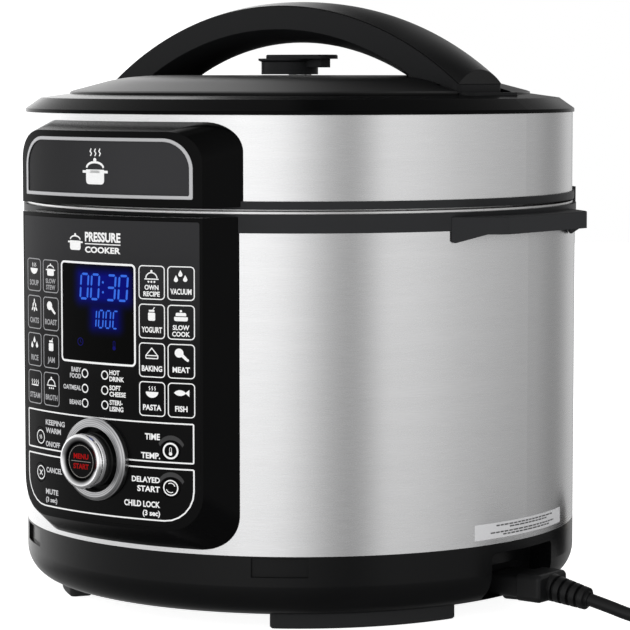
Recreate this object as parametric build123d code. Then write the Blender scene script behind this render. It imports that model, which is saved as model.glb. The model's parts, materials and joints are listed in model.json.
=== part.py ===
from build123d import *
import math
import os

# Electric pressure cooker, about 6 litres.
# Millimetres. The floor is z = 0, the pot's axis is x = y = 0, the front faces -Y.

# ---- driving dimensions: body ------------------------------------------------
BODY_R = 145.0
STEEL = 1.2
BASE_BOTTOM = 8.0
STEEL_BOTTOM = 38.9
STEEL_TOP = 195.2
COLLAR_TOP = 204.2
WALL = 2.4
BASE_CORNER = 16.0
FOOT_R = 127.0
FOOT_WIDTH = 12.0
FOOT_SPAN = 45.0
FOOT_PLANS = (36.0, 144.0, 216.0, 324.0)
CUP_BACK = 174.0

# ---- driving dimensions: pots ------------------------------------------------
POT_R = 110.0
POT_WALL = 1.8
POT_BOTTOM = 57.3
LINER_R = 119.0
LINER_BOTTOM = 54.0
BRACKET_Z = 41.5
LUG_COUNT = 6
LUG_SPAN = 28.0
LUG_PITCH = 360.0 / LUG_COUNT

# ---- driving dimensions: lid -------------------------------------------------
LID_BOTTOM = 206.5
LID_BAND_BOTTOM = 210.4
LID_BAND_TOP = 251.6
LID_BAND_R = 143.4
LID_FRONT_BOTTOM = LID_BOTTOM + 1.2
LID_FRONT_TOP = 243.7
LID_FRONT_SLOPE = 0.27
DOME_R = 121.0
DOME_TOP = 270.5
PIPE_R = 6.0
VALVE_X = -7.0
FOOT_PLATE_X = (96.0, 125.0)
FOOT_PLATE_HALF = 23.0
FOOT_PLATE_Z = (259.2, 261.8)
LID_SCREWS = [(x, y) for x in (-108.0, 108.0) for y in (-9.0, 9.0)]

# ---- driving dimensions: handle ----------------------------------------------
HANDLE_HALF = 116.0
HANDLE_OPENING = 85.5
HANDLE_DEPTH = 40.0
HANDLE_TOP_R = 186.0
HANDLE_TOP_CENTRE = 120.0
HANDLE_GRIP_R = 169.0
HANDLE_GRIP_CENTRE = 125.3
HANDLE_BELLY = 6.8
HANDLE_FOOT = FOOT_PLATE_Z[0]

# ---- driving dimensions: front panel -----------------------------------------
FACE_R = 161.6
FACE_Y = 1.7
FACE_HALF = 59.0
FACE_CORNER = 24.0
HOUSING_BACK = -118.0
HOUSING_FRONT = -168.0
HOUSING_REACH = 60.0
PANEL_TOP = 202.9
PANEL_BOTTOM = 51.9
PANEL_SIDE_SLOPE = 0.337
PANEL_FOOT_SLOPE = 0.72
EDGE_BACK = FACE_R - math.sqrt(FACE_R ** 2 - FACE_HALF ** 2)
FILM = 0.6
DISPLAY_HALF = 23.9
DISPLAY_LOW = 131.2
DISPLAY_HIGH = 179.4
KNOB_Z = 84.0
BEZEL_R = 20.3
BEZEL_INNER = 15.8
BEZEL_FRONT = -163.0
BEZEL_SEAT = -158.9
DIAL_R = 13.5
DIAL_FLOOR = -164.0
DIAL_BACK = -159.4
KNOB_FRONT = -172.2
CAP_R = 9.0
CAP_RECESS = 1.3
BUTTON_X = 43.0
BUTTON_ROWS = (91.0, 73.0)
BUTTON_R = 4.6
BUTTON_GAP = 0.3

# ---- driving dimensions: power inlet and cord --------------------------------
RECESS_HALF = 26.5
RECESS_TOP = 34.0
RECESS_BACK = 129.0
CONNECTOR_Z = 16.0
RELIEF_START = (160.4, 0.0, 15.7)
RELIEF_RIBS = 5
RELIEF_END = (183.0, 0.0, 12.0)
CORD_R = 3.25
COIL_CENTRE = (238.0, 62.0)
COIL_MEAN_R = 36.0
COIL_TURNS_WIDE = 3
COIL_OUTER = COIL_MEAN_R + COIL_TURNS_WIDE * CORD_R
COIL_INNER = COIL_MEAN_R - COIL_TURNS_WIDE * CORD_R
COIL_HEIGHT = 13.0

parts = {}


# ---- shapes used many times ---------------------------------------------------
def cylinder(radius, low, high, x=0.0, y=0.0):
    return Pos(x, y, low) * extrude(Circle(radius), high - low)


def ring(inner, outer, low, high, x=0.0, y=0.0):
    return Pos(x, y, low) * extrude(Circle(outer) - Circle(inner), high - low)


def block(x0, x1, y0, y1, z0, z1):
    middle = Pos((x0 + x1) / 2, (y0 + y1) / 2, (z0 + z1) / 2)
    return middle * Box(x1 - x0, y1 - y0, z1 - z0)


def turned(points, x=0.0, y=0.0):
    """A closed outline of (radius, height) points turned about an upright axis."""
    outline = make_face(Plane.XZ * Polyline(*points, close=True))
    return Pos(x, y, 0) * revolve(outline, Axis.Z)


def sector(inner, outer, start, stop, low, high):
    """A curved bar between two radii and two plan angles in degrees."""
    outside = CenterArc((0, 0), outer, start, stop - start)
    inside = CenterArc((0, 0), inner, start, stop - start)
    ends = [Line(outside @ k, inside @ k) for k in (0, 1)]
    return Pos(0, 0, low) * extrude(make_face([outside, inside, *ends]), high - low)


def forward(radius, y0, y1, x, z):
    """A round bar that lies along Y."""
    plane = Plane(origin=(x, y0, z), z_dir=(0, 1, 0))
    return extrude(plane * Circle(radius), y1 - y0)


def forward_ring(inner, outer, y0, y1, x, z):
    return forward(outer, y0, y1, x, z) - forward(inner, y0 - 1, y1 + 1, x, z)


def spun(points, z):
    """A closed outline of (radius, y) points turned about a line along Y at this height."""
    return Pos(0, 0, z) * revolve(make_face(Polyline(*points, close=True)), Axis.Y)


def screw(x, y, head_top, length):
    """A pan head screw that points down, with a cross recess."""
    head = cylinder(3.4, head_top - 2.0, head_top, x, y)
    shank = cylinder(1.5, head_top - 2.0 - length, head_top - 2.0, x, y)
    recess = block(x - 2, x + 2, y - 0.4, y + 0.4, head_top - 1.2, head_top + 1)
    recess += block(x - 0.4, x + 0.4, y - 2, y + 2, head_top - 1.2, head_top + 1)
    return head + shank - recess


def grouped(shapes):
    return Compound(children=[Solid(s.solid().wrapped) for s in shapes])


def keep(name, shape):
    parts[name] = shape


# ---- base -----------------------------------------------------------------------
def base_shell():
    outside = cylinder(BODY_R, BASE_BOTTOM, STEEL_BOTTOM)
    outside = fillet(outside.edges().sort_by(Axis.Z)[0], BASE_CORNER)
    inside = cylinder(BODY_R - WALL, BASE_BOTTOM + WALL, STEEL_BOTTOM + 1)
    inside = fillet(inside.edges().sort_by(Axis.Z)[0], BASE_CORNER - WALL)
    shell = outside - inside
    pocket = block(RECESS_BACK, 150, -RECESS_HALF, RECESS_HALF, BASE_BOTTOM + 1.9, RECESS_TOP)
    pocket = fillet(pocket.edges().filter_by(Axis.X), 3.0)
    walls = block(RECESS_BACK - WALL, 150, -RECESS_HALF - WALL, RECESS_HALF + WALL,
                  BASE_BOTTOM, RECESS_TOP + WALL)
    shell = shell + (walls & outside) - pocket
    shell -= block(120, 132, -16, 16, 11.0, 24.0)
    for x in (-104, 104):
        shell += cylinder(5.0, BASE_BOTTOM + 1, BRACKET_Z, x, 0)
        shell -= cylinder(1.5, BRACKET_Z - 11.0, BRACKET_Z + 1, x, 0)
    for x in (-50, 50):
        for y in (-104, -52):
            shell += cylinder(3.5, BASE_BOTTOM + 1, 16.0, x, y)
    shell += block(64, 78, -7, 7, BASE_BOTTOM + 1, 29.0)
    for angle in (45, 135, 225, 315):
        post = cylinder(4.0, BASE_BOTTOM + 1, LINER_BOTTOM, 114, 0)
        shell += Rot(0, 0, angle) * post
    for k in range(9):
        y = -40 + 10 * k
        shell -= block(-36, 36, y - 1.5, y + 1.5, BASE_BOTTOM - 1, BASE_BOTTOM + WALL + 1)
    for plan in (-55.5, 235.5, 55.5, 124.5):
        shell -= sector(BODY_R - 1.6, BODY_R + 2, plan - 5.5, plan + 5.5, 28.6, 37.9)
    for plan in FOOT_PLANS:
        hole = cylinder(1.6, BASE_BOTTOM - 1, BASE_BOTTOM + 4, FOOT_R - FOOT_WIDTH / 2, 0)
        shell -= Rot(0, 0, plan) * hole
    keep("base_shell", shell)


def feet():
    pads = []
    for plan in FOOT_PLANS:
        start = plan - FOOT_SPAN / 2
        pad = sector(FOOT_R - FOOT_WIDTH, FOOT_R, start, start + FOOT_SPAN, 0, BASE_BOTTOM)
        pad = fillet(pad.edges().filter_by(Axis.Z), 3.0)
        pads.append(chamfer(pad.edges().group_by(Axis.Z)[0], 0.8))
    keep("feet", grouped(pads))


# ---- body -------------------------------------------------------------------------
def body_shell():
    shell = ring(BODY_R - STEEL, BODY_R, STEEL_BOTTOM, STEEL_TOP)
    shell -= block(-50, 50, -150, -100, 62, 188)
    keep("body_shell", shell)


def body_collar():
    inner = BODY_R - STEEL - 0.2
    collar = turned([
        (121.0, COLLAR_TOP - WALL), (121.0, COLLAR_TOP), (BODY_R + 0.5, COLLAR_TOP),
        (BODY_R + 0.5, STEEL_TOP), (inner, STEEL_TOP), (inner, 186.0),
        (inner - WALL, 186.0), (inner - WALL, COLLAR_TOP - WALL)])
    keep("body_collar", collar)


def rear_gutter():
    """A low wall behind the lid that catches the water that runs off it."""
    wall = sector(146.8, 149.2, 46, 134, 197.0, 211.0)
    floor = sector(BODY_R + 0.5, 149.2, 46, 134, 195.2, 197.4)
    keep("rear_gutter", wall + floor - block(-6, 6, 146.0, 148.0, 190, 198))


def carry_handle(side, name):
    outline = [(134, -54.2), (157, -36), (157, 36), (134, 54.2)]
    plan = make_face(Polyline(*outline, close=True))
    inner_plan = offset(plan, -2.6)
    top = Pos(0, 0, 193.6) * extrude(plan, 8.6)
    top = fillet(top.edges().filter_by(Axis.Z).sort_by(Axis.X)[-2:], 5.0)
    hollow = Pos(0, 0, 190) * extrude(inner_plan, 9.4)
    ear = top - hollow
    for end in (-1, 1):
        lug_outline = [(end * 53.5, 194.0), (end * 53.5, 190.6), (end * 51.5, 189.4), (end * 41.0, 194.0)]
        lug = extrude(Plane.YZ * make_face(Polyline(*lug_outline, close=True)), 170)
        walls = Pos(0, 0, 186) * extrude(plan - inner_plan, 10)
        ear += lug & walls
    ear -= cylinder(BODY_R + 0.5, 180, 210)
    ear = fillet(ear.edges().group_by(Axis.Z)[-1], 0.7)
    ear = ear if side > 0 else ear.mirror(Plane.YZ)
    keep(name, ear)


def condensate_cup():
    """A small cup hangs under the gutter's spout and pulls out to the rear."""
    y0 = BODY_R + 1.2
    y1 = CUP_BACK
    outer = block(-24, 24, y0, y1, 128, 190)
    outer = fillet(outer.edges().filter_by(Axis.Z), 6.0)
    outer = fillet(outer.edges().group_by(Axis.Z)[0], 4.0)
    inner = block(-22.2, 22.2, y0 + 1.8, y1 - 1.8, 129.8, 195)
    inner = fillet(inner.edges().filter_by(Axis.Z), 4.2)
    keep("condensate_cup", outer - inner)


def cup_rails():
    """Two rails on the steel that the cup's edges sit between."""
    rails = []
    for side in (-1, 1):
        low_x, high_x = sorted((side * 24.4, side * 27.4))
        rail = block(low_x, high_x, 139.0, 152.0, 136, 186)
        rails.append(rail - cylinder(BODY_R, 100, 200))
    keep("cup_rails", grouped(rails))


def body_label():
    keep("body_label", sector(BODY_R, BODY_R + 0.15, -15.3, 15.3, 41.7, 49.5))


# ---- pots and heating -----------------------------------------------------------
def lug_ring(inner, outer, low, high, first):
    lugs = []
    for k in range(LUG_COUNT):
        middle = first + k * LUG_PITCH
        lugs.append(sector(inner, outer, middle - LUG_SPAN / 2, middle + LUG_SPAN / 2, low, high))
    return lugs


def outer_pot():
    pot = turned([
        (98.0, LINER_BOTTOM), (LINER_R, LINER_BOTTOM), (LINER_R, COLLAR_TOP), (143.6, COLLAR_TOP),
        (143.6, COLLAR_TOP + 1.2), (134.2, COLLAR_TOP + 1.2), (134.2, 220.5), (133.0, 220.5),
        (133.0, COLLAR_TOP + 1.2), (LINER_R - 1, COLLAR_TOP + 1.2), (LINER_R - 1, LINER_BOTTOM + 1.2),
        (98.0, LINER_BOTTOM + 1.2)])
    for lug in lug_ring(126.0, 133.6, 219.3, 220.5, 0.0):
        pot += lug
    keep("outer_pot", pot)


def heat_shield():
    keep("heat_shield", ring(127.0, 127.8, 66.0, 186.0) + ring(LINER_R, 127.5, 66.0, 66.8))


def inner_pot():
    outside = cylinder(POT_R, POT_BOTTOM, 206.3)
    outside = fillet(outside.edges().sort_by(Axis.Z)[0], 14.0)
    outside += cylinder(117.0, 204.9, 206.3)
    inside = cylinder(POT_R - POT_WALL, POT_BOTTOM + POT_WALL, 210)
    inside = fillet(inside.edges().sort_by(Axis.Z)[0], 14.0 - POT_WALL)
    keep("inner_pot", outside - inside)


def heating_plate():
    plate = cylinder(89.0, 48.0, 57.0)
    plate = chamfer(plate.edges().sort_by(Axis.Z)[-1], 1.5)
    plate -= cylinder(17.0, 40.0, 60.0)
    for x in (-50, 50):
        plate += cylinder(6.0, BRACKET_Z + 1.5, 48.5, x, 0)
    plate -= Pos(0, 0, 48.0) * Torus(70.0, 4.05)
    keep("heating_plate", plate)


def heating_tube():
    tube = Pos(0, 0, 48.0) * Torus(70.0, 4.0)
    for y in (-9, 9):
        tube += cylinder(2.6, 33.0, 47.0, -69.5, y)
    keep("heating_tube", tube)


def pressure_bracket():
    """The springy steel strip that carries the heating plate, with the sensor's guide."""
    top = BRACKET_Z + 1.5
    strip = block(-112, 112, -26, 26, BRACKET_Z, top) - cylinder(19.0, 40, 50)
    for y in (-9, 9):
        strip -= cylinder(4.5, 40, 50, -69.5, y)
    for x in (-104, 104):
        strip -= cylinder(1.6, 40, 50, x, 0)
    strip += block(-24, 24, -8, 8, 33.0, 35.0) - cylinder(5.05, 30, 40)
    for side in (-1, 1):
        low_x, high_x = sorted((side * 22.0, side * 24.0))
        strip += block(low_x, high_x, -8, 8, 33.0, BRACKET_Z + 0.1)
    keep("pressure_bracket", strip)


def pressure_switch():
    body = block(64, 78, -6, 6, 29.0, 38.0)
    plunger = cylinder(1.5, 38.0, 41.2, 71, 0)
    keep("pressure_switch", body + plunger)


def pot_sensor():
    head = cylinder(16.0, 51.0, 57.0)
    head = chamfer(head.edges().sort_by(Axis.Z)[-1], 1.0)
    keep("pot_sensor", head + cylinder(5.0, 29.0, 52.0))


def sensor_spring():
    pitch = 3.9
    wire = 0.7
    path = Helix(pitch, 51.0 - 35.0 - 2 * wire, 8.0, center=(0, 0, 35.0 + wire))
    start = path @ 0
    profile = Plane(origin=start, z_dir=path % 0) * Circle(wire)
    keep("sensor_spring", sweep(profile, path=path))


# ---- electronics ------------------------------------------------------------------
def power_board():
    pieces = [
        block(-58, 58, -110, -44, 16.0, 17.6),
        block(-50, -22, -104, -84, 17.6, 34.0),
        block(-10, 18, -104, -72, 17.6, 38.0),
        block(28, 48, -70, -50, 17.6, 32.0),
        cylinder(6.0, 17.6, 36.0, -40, -62),
        cylinder(4.0, 17.6, 30.0, -22, -62),
        block(26, 50, -104, -92, 17.6, 28.0)]
    keep("power_board", grouped(pieces))


def control_board():
    """The upright board behind the panel, with a key switch behind each button."""
    pieces = [block(-45, 45, -147.6, -146.0, 60.0, 196.0)]
    for x, z in button_places():
        pieces.append(block(x - 3, x + 3, -149.6, -147.6, z - 3, z + 3))
    keep("control_board", grouped(pieces))


def display_module():
    keep("display_module", block(-22.5, 22.5, -154.0, -147.6, DISPLAY_LOW + 1, DISPLAY_HIGH - 1))


def encoder():
    body = block(-7, 7, -154.0, -147.6, KNOB_Z - 7, KNOB_Z + 7)
    keep("encoder", body - forward(2.6, -155, -149, 0, KNOB_Z))


# ---- front panel ---------------------------------------------------------------------
def button_places():
    return [(side * BUTTON_X, z) for side in (-1, 1) for z in BUTTON_ROWS]


def face_bar(low, high, inner, outer):
    """An upright shell around the face's axis, between two radii."""
    return ring(inner, outer, low, high, 0, FACE_Y)


def rounded_outline(half, low, high, low_radius, high_radius):
    """A flat outline in X and Z with its own radius at its lower and upper corners."""
    face = make_face(Polyline((-half, low), (half, low), (half, high), (-half, high), close=True))
    corners = face.vertices().group_by(Axis.Y)
    if low_radius:
        face = fillet(corners[0], low_radius)
    corners = face.vertices().group_by(Axis.Y)
    if high_radius:
        face = fillet(corners[-1], high_radius)
    return face


def upright_face(face, y):
    return Plane(origin=(0, y, 0), x_dir=(1, 0, 0), z_dir=(0, -1, 0)) * face


def through(face):
    """The outline run along Y, through the whole face."""
    return extrude(upright_face(face, -120), 60)


def housing_block(low, high, low_slope, high_slope, low_corner, high_corner, inset=0.0):
    """A block behind the face, whose low and high limits are set at the face.

    Its sides spread towards the steel, and its two ends slope evenly all round the curve.
    """
    sections = []
    for y in (HOUSING_BACK, HOUSING_FRONT):
        back = y - (FACE_Y - FACE_R)
        half = FACE_HALF + (back - EDGE_BACK) * PANEL_SIDE_SLOPE - inset
        outline = rounded_outline(half, low - HOUSING_REACH, high + HOUSING_REACH, 0, 0)
        sections.append(upright_face(outline, y))
    near = FACE_R + 8.0
    far = FACE_R - HOUSING_REACH
    solid = loft(sections) & turned([
        (near, low + inset + (near - FACE_R) * low_slope),
        (near, high - inset - (near - FACE_R) * high_slope),
        (far, high - inset + HOUSING_REACH * high_slope),
        (far, low + inset - HOUSING_REACH * low_slope)], 0, FACE_Y)
    long_edges = [e for e in solid.edges() if e.bounding_box().size.Y > 30]
    ordered = ShapeList(long_edges).sort_by(Axis.Z)
    if low_corner:
        solid = fillet(ordered[:2], low_corner)
    if high_corner:
        solid = fillet(ordered[-2:], high_corner)
    return solid


def panel_housing():
    solid = housing_block(PANEL_BOTTOM, PANEL_TOP, PANEL_FOOT_SLOPE, 0.0, FACE_CORNER, 0)
    solid &= cylinder(FACE_R, 20, 220, 0, FACE_Y)
    solid -= cylinder(BODY_R, 20, 220)
    solid -= cylinder(BODY_R + 0.5, STEEL_TOP, COLLAR_TOP)
    hollow = housing_block(PANEL_BOTTOM, PANEL_TOP, PANEL_FOOT_SLOPE, 0.0, FACE_CORNER - WALL, 0,
                           inset=WALL)
    hollow &= cylinder(FACE_R - FILM - WALL, 20, 220, 0, FACE_Y)
    solid -= hollow
    solid -= film_blank(FACE_R - FILM)
    solid -= through(rounded_outline(DISPLAY_HALF - 1, DISPLAY_LOW + 1, DISPLAY_HIGH - 1, 0, 0))
    solid -= forward(BEZEL_R, -170, BEZEL_SEAT, 0, KNOB_Z)
    solid -= forward(8.0, -170, -150, 0, KNOB_Z)
    for x, z in button_places():
        solid -= forward(BUTTON_R + BUTTON_GAP, -170, -146, x, z)
    keep("panel_housing", solid)


def film_blank(inner_radius):
    outline = rounded_outline(FACE_HALF - 1.5, PANEL_BOTTOM + 1.5, PANEL_TOP - 2.0,
                              FACE_CORNER - 1.5, 1.0)
    return face_bar(40, 210, inner_radius, FACE_R + 0.4) & through(outline)


def front_film():
    film = film_blank(FACE_R - FILM) & cylinder(FACE_R, 40, 210, 0, FACE_Y)
    film -= through(rounded_outline(DISPLAY_HALF, DISPLAY_LOW, DISPLAY_HIGH, 1.5, 1.5))
    film -= forward(BEZEL_R, -170, -150, 0, KNOB_Z)
    for x, z in button_places():
        film -= forward(BUTTON_R + BUTTON_GAP, -170, -146, x, z)
    keep("front_film", film)


def display_window():
    window = face_bar(120, 190, FACE_R - FILM, FACE_R)
    window &= through(rounded_outline(DISPLAY_HALF - 0.1, DISPLAY_LOW + 0.1, DISPLAY_HIGH - 0.1, 1.4, 1.4))
    keep("display_window", window)


def knob_bezel():
    """A spun ring with a raised lip on its inner edge."""
    outer = BEZEL_R - 0.05
    keep("knob_bezel", spun([
        (BEZEL_INNER, BEZEL_SEAT), (BEZEL_INNER, BEZEL_FRONT + 0.3), (BEZEL_INNER + 0.3, BEZEL_FRONT),
        (outer - 1.6, BEZEL_FRONT), (outer, BEZEL_FRONT + 1.4), (outer, BEZEL_SEAT)], KNOB_Z))


def knob_dial():
    """A polished head with a dished front, on a grooved skirt."""
    front = KNOB_FRONT
    pocket = CAP_R + 0.3
    skirt = DIAL_R - 0.3
    keep("knob_dial", spun([
        (pocket, DIAL_FLOOR), (pocket, front + CAP_RECESS - 0.1), (11.4, front + 0.2), (12.0, front),
        (12.7, front + 0.3), (13.2, front + 0.8), (DIAL_R, front + 1.5), (DIAL_R, front + 2.2),
        (12.8, front + 2.5), (12.8, front + 2.9), (skirt, front + 3.2), (skirt, front + 5.0),
        (12.6, front + 5.2), (12.6, front + 6.0), (skirt, front + 6.2), (skirt, front + 8.6),
        (12.7, front + 8.8), (12.7, front + 9.2), (skirt, front + 9.4), (skirt, DIAL_BACK),
        (7.4, DIAL_BACK), (7.4, -155.0), (3.0, -155.0), (3.0, DIAL_FLOOR)], KNOB_Z))


def knob_cap():
    cap = forward(CAP_R, KNOB_FRONT + CAP_RECESS, DIAL_FLOOR - 2.0, 0, KNOB_Z)
    cap = fillet(cap.edges().sort_by(Axis.Y)[0], 0.6)
    keep("knob_cap", cap + forward(2.5, DIAL_FLOOR - 3.0, -150.5, 0, KNOB_Z))


def buttons():
    names = ("button_keep_warm", "button_cancel", "button_time", "button_delay")
    for name, (x, z) in zip(names, button_places()):
        cap = forward(BUTTON_R, -170, -150.8, x, z)
        keep(name, cap & cylinder(FACE_R, 40, 210, 0, FACE_Y))


# ---- lid ----------------------------------------------------------------------------------
def pressure_plate():
    plate = turned([
        (0, 212.8), (100.0, 212.8), (118.3, 211.6), (118.3, 206.9), (119.6, 206.9),
        (119.6, 213.0), (100.0, 214.2), (0, 214.2)])
    plate -= cylinder(PIPE_R, 200, 220)
    plate -= cylinder(2.5, 200, 220, 34, 18)
    keep("pressure_plate", plate)


def seal_gasket():
    keep("seal_gasket", turned([
        (110.0, 206.6), (118.3, 206.6), (118.3, 211.4), (113.0, 211.4), (113.0, 209.0), (110.0, 208.0)]))


def exhaust_pipe():
    keep("exhaust_pipe", ring(1.8, PIPE_R, 206.0, 276.5))


def block_shield():
    """The small cage that keeps food out of the pipe's lower end."""
    cage = cylinder(15.0, 201.0, 212.8) - cylinder(14.0, 202.0, 215.0)
    for k in range(6):
        slot = Rot(0, 0, 60 * k) * Pos(14, 0, 206.0) * Box(6, 4, 5)
        cage -= slot
    keep("block_shield", cage)


def float_valve():
    keep("float_valve", cylinder(2.2, 204.0, 226.0, 34, 18) + cylinder(4.6, 202.5, 205.5, 34, 18))


def locking_ring():
    ring_solid = turned([
        (121.0, 215.5), (123.5, 215.5), (123.5, 217.5), (122.4, 217.5), (122.4, 238.5),
        (131.0, 238.5), (131.0, 240.0), (121.0, 240.0)])
    for lug in lug_ring(122.8, 131.5, 215.5, 217.5, LUG_PITCH / 2):
        ring_solid += lug
    keep("locking_ring", ring_solid)


def lid_skirt():
    wall = LID_BAND_R - STEEL - 0.6
    skirt = turned([
        (136.0, LID_BOTTOM), (144.5, LID_BOTTOM), (144.5, LID_BAND_BOTTOM), (wall, LID_BAND_BOTTOM),
        (wall, 249.0), (wall - WALL, 249.0), (wall - WALL, 242.5), (16.0, 242.5), (16.0, 240.0),
        (wall - WALL, 240.0), (wall - WALL, 212.0), (136.0, 212.0)])
    skirt -= cylinder(3.4, 230, 250, 34, 18)
    keep("lid_skirt", skirt - screw_holes())


def screw_holes():
    return [cylinder(1.55, 230, 264.2, x, y) for x, y in LID_SCREWS]


def lid_band():
    wall = LID_BAND_R - STEEL - 0.6
    keep("lid_band", ring(wall, LID_BAND_R, LID_BAND_BOTTOM, LID_BAND_TOP))


def lid_rim():
    rim = turned([
        (138.0, 249.0), (141.6, 249.0), (141.6, LID_BAND_TOP), (144.2, LID_BAND_TOP),
        (144.2, 253.4), (136.3, 258.9), (DOME_R + 0.3, 261.0), (112.0, 261.0),
        (112.0, 257.0), (135.0, 255.0)])
    for side in (-1, 1):
        rim -= foot_pocket(side)
    keep("lid_rim", rim)


def lid_dome():
    arcs = [
        Line((0, DOME_TOP), (69.0, DOME_TOP)),
        Spline((69.0, DOME_TOP), (84.0, 269.9), (99.0, 267.9), (108.0, 265.6), (119.4, 262.6),
               tangents=[(1, 0), (1, -0.27)]),
        Line((119.4, 262.6), (DOME_R, 261.9)),
        Line((DOME_R, 261.9), (DOME_R, 261.0)),
        Line((DOME_R, 261.0), (106.0, 261.0)),
        Spline((106.0, 261.0), (84.0, 266.4), (66.0, 268.0)),
        Line((66.0, 268.0), (0, 268.0)),
        Line((0, 268.0), (0, DOME_TOP))]
    dome = revolve(Plane.XZ * make_face(arcs), Axis.Z)
    dome -= cylinder(PIPE_R + 1.0, 250, 280)
    for side in (-1, 1):
        dome -= foot_pocket(side)
    keep("lid_dome", dome)


def lid_front():
    solid = housing_block(LID_FRONT_BOTTOM, LID_FRONT_TOP, 0.0, LID_FRONT_SLOPE, 0, 17.0)
    solid &= cylinder(FACE_R, 200, 255, 0, FACE_Y)
    solid -= cylinder(LID_BAND_R, 200, 255)
    solid -= cylinder(144.5, 200, LID_BAND_BOTTOM)
    hollow = housing_block(LID_FRONT_BOTTOM, LID_FRONT_TOP, 0.0, LID_FRONT_SLOPE, 0, 15.0,
                           inset=WALL)
    hollow &= cylinder(FACE_R - 0.8 - WALL, 200, 255, 0, FACE_Y)
    solid -= hollow
    solid -= brand_blank(FACE_R - 0.8, 0.0)
    keep("lid_front", solid)


def brand_blank(inner_radius, inset):
    outline = rounded_outline(FACE_HALF - 4.5 - inset, 211.6 + inset, 240.6 - inset, 0.8, 15.0 - inset)
    return face_bar(200, 250, inner_radius, FACE_R + 0.2) & through(outline)


def lid_front_frame():
    keep("lid_front_frame", brand_blank(FACE_R - 0.8, 0.0) - brand_blank(FACE_R - 1.8, 1.7))


def lid_front_plate():
    plate = brand_blank(FACE_R - 0.8, 1.7) & cylinder(FACE_R - 0.3, 200, 250, 0, FACE_Y)
    keep("lid_front_plate", plate)


# ---- handle on the lid -------------------------------------------------------------------
def foot_plate(side, margin):
    """The flat tab under each end of the handle, let into the lid."""
    low_x, high_x = sorted((side * (FOOT_PLATE_X[0] - margin), side * (FOOT_PLATE_X[1] + margin)))
    half = FOOT_PLATE_HALF + margin
    plate = block(low_x, high_x, -half, half, *FOOT_PLATE_Z)
    corners = plate.edges().filter_by(Axis.Z).sort_by(Axis.X)
    return fillet(corners[-2:] if side > 0 else corners[:2], 5.0)


def foot_pocket(side):
    pocket = foot_plate(side, 0.1)
    return pocket + Pos(0, 0, 2.0) * pocket + Pos(0, 0, 4.0) * pocket


def arc_height(x, radius, centre):
    return centre + math.sqrt(radius ** 2 - x ** 2)


def handle_section(x):
    half = HANDLE_DEPTH / 2
    top = arc_height(x, HANDLE_TOP_R, HANDLE_TOP_CENTRE)
    low = arc_height(x, HANDLE_GRIP_R, HANDLE_GRIP_CENTRE)
    edges = [
        Line((-half, top), (half, top)),
        Line((half, top), (half, low)),
        ThreePointArc((half, low), (0, low - HANDLE_BELLY), (-half, low)),
        Line((-half, low), (-half, top))]
    return Plane(origin=(x, 0, 0), x_dir=(0, 1, 0), z_dir=(1, 0, 0)) * make_face(edges)


def cover_section(x, crown, inset):
    half = HANDLE_DEPTH / 2 - inset
    low = arc_height(x, HANDLE_TOP_R, HANDLE_TOP_CENTRE)
    edges = [
        Line((-half, low), (half, low)),
        Line((half, low), (half, low + 0.6)),
        ThreePointArc((half, low + 0.6), (0, low + crown), (-half, low + 0.6)),
        Line((-half, low + 0.6), (-half, low))]
    return Plane(origin=(x, 0, 0), x_dir=(0, 1, 0), z_dir=(1, 0, 0)) * make_face(edges)


def handle_shell():
    reach = HANDLE_OPENING + 0.5
    steps = 8
    stations = [reach * (2 * k / steps - 1) for k in range(steps + 1)]
    shell = loft([handle_section(x) for x in stations])
    half = HANDLE_DEPTH / 2
    for side in (-1, 1):
        inner_x = side * HANDLE_OPENING
        outer_x = side * HANDLE_HALF
        middle_x = side * (HANDLE_OPENING + HANDLE_HALF) / 2
        tops = [arc_height(x, HANDLE_TOP_R, HANDLE_TOP_CENTRE) for x in (inner_x, middle_x, outer_x)]
        outline = make_face([
            Line((inner_x, HANDLE_FOOT), (outer_x, HANDLE_FOOT)),
            Line((outer_x, HANDLE_FOOT), (outer_x, tops[2])),
            ThreePointArc((outer_x, tops[2]), (middle_x, tops[1]), (inner_x, tops[0])),
            Line((inner_x, tops[0]), (inner_x, HANDLE_FOOT))])
        leg = Pos(0, half, 0) * extrude(Plane.XZ * outline, HANDLE_DEPTH)
        far = leg.edges().filter_by(Axis.Z).sort_by(Axis.X)
        leg = fillet(far[-2:] if side > 0 else far[:2], 4.0)
        shell += leg
        shell += foot_plate(side, 0.0)
    shell -= parts["lid_dome"]
    shell -= parts["lid_rim"]
    shell -= cylinder(95.0, 250.0, 268.0)
    shell -= screw_holes()
    keep("handle_shell", shell.solids().sort_by(SortBy.VOLUME)[-1])


def handle_cover():
    reach = HANDLE_HALF - 0.6
    steps = 10
    sections = []
    for k in range(steps + 1):
        x = reach * (2 * k / steps - 1)
        crown = 2.8 + 4.6 * (x / reach) ** 2
        sections.append(cover_section(x, crown, 1.6))
    keep("handle_cover", loft(sections))


def lid_screws():
    """Screws up through the lid's ceiling into the handle's feet."""
    screws = []
    for x, y in LID_SCREWS:
        head = cylinder(3.4, 238.0, 240.0, x, y)
        screws.append(head + cylinder(1.5, 240.0, 264.0, x, y))
    keep("lid_screws", grouped(screws))


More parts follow.
